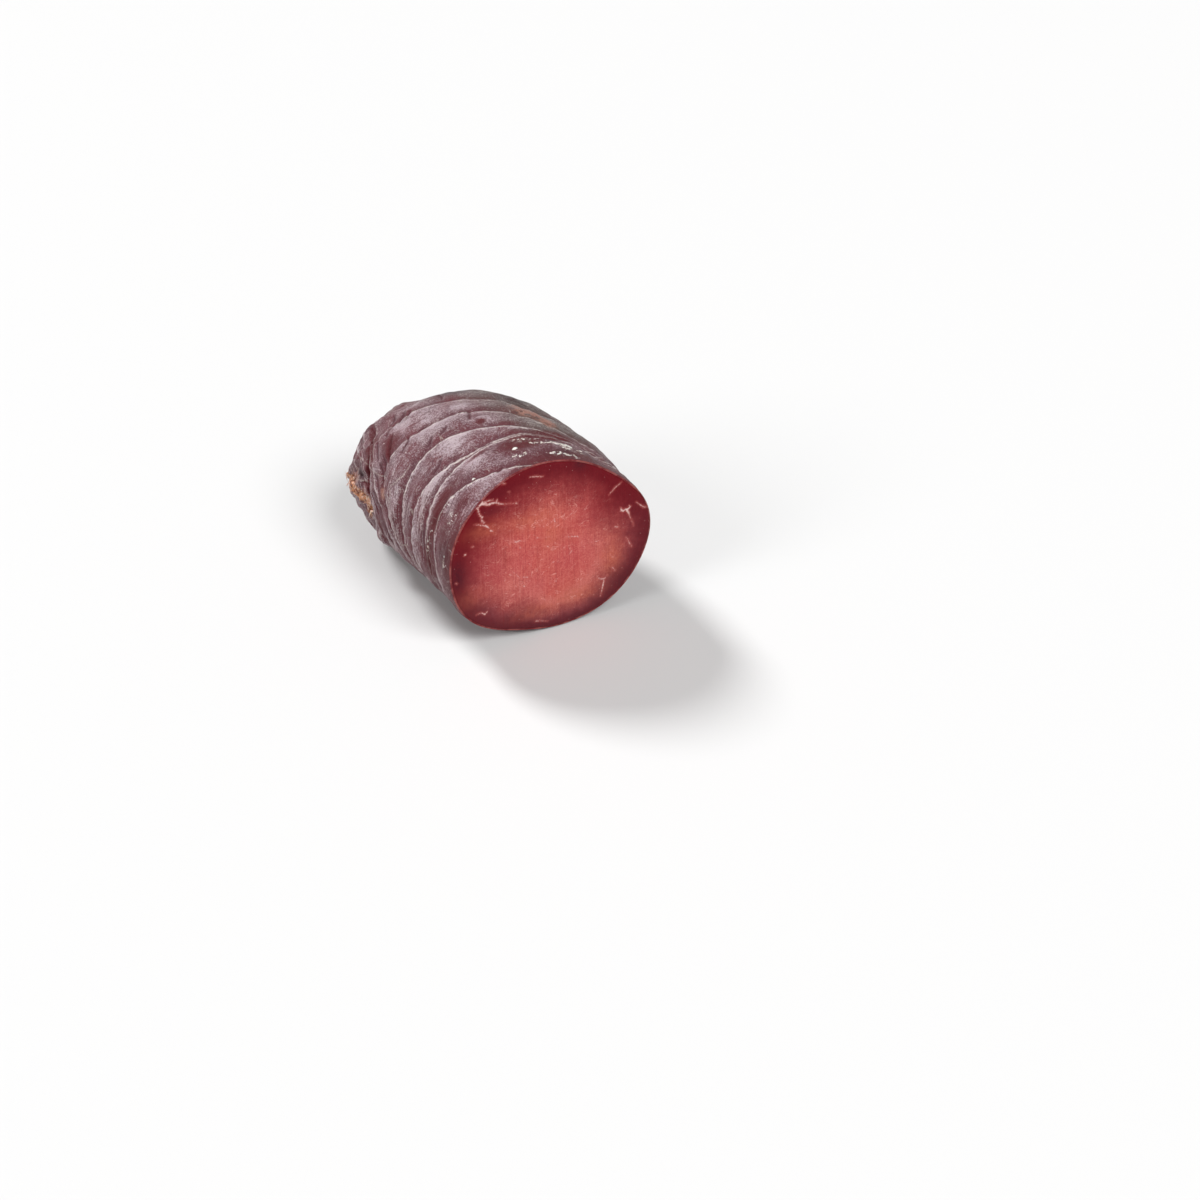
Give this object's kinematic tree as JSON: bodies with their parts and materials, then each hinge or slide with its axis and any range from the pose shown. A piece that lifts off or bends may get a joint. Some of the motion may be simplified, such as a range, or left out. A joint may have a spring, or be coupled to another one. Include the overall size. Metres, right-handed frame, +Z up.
{
  "type": "bresaola",
  "caption": "Half of a cured, air-dried beef muscle in a net-marked casing, lying on its side with one straight cut face and a gathered, pleated tail.",
  "frame": {"origin": "centre of the bounding box's bottom, on the surface that the piece lies on", "axes": "+Z up, -Y out of the cut face, +Y along the body towards the tail, which leans towards -X"},
  "size_m": [0.1136, 0.1456, 0.0967],
  "materials": {
    "casing": "dried purple-brown casing with a pale grey bloom, half gloss on the crests",
    "cut_meat": "moist cut lean meat, dark crimson rim fading to rose, with thin white fat veins",
    "dried_tendon": "rough dry tan and orange tendon scraps at the tail",
    "salt_bloom": "matt off-white flecks of salt and mould"
  },
  "bodies": {
    "root": {"bresaola": "casing"}
  },
  "joints": []
}
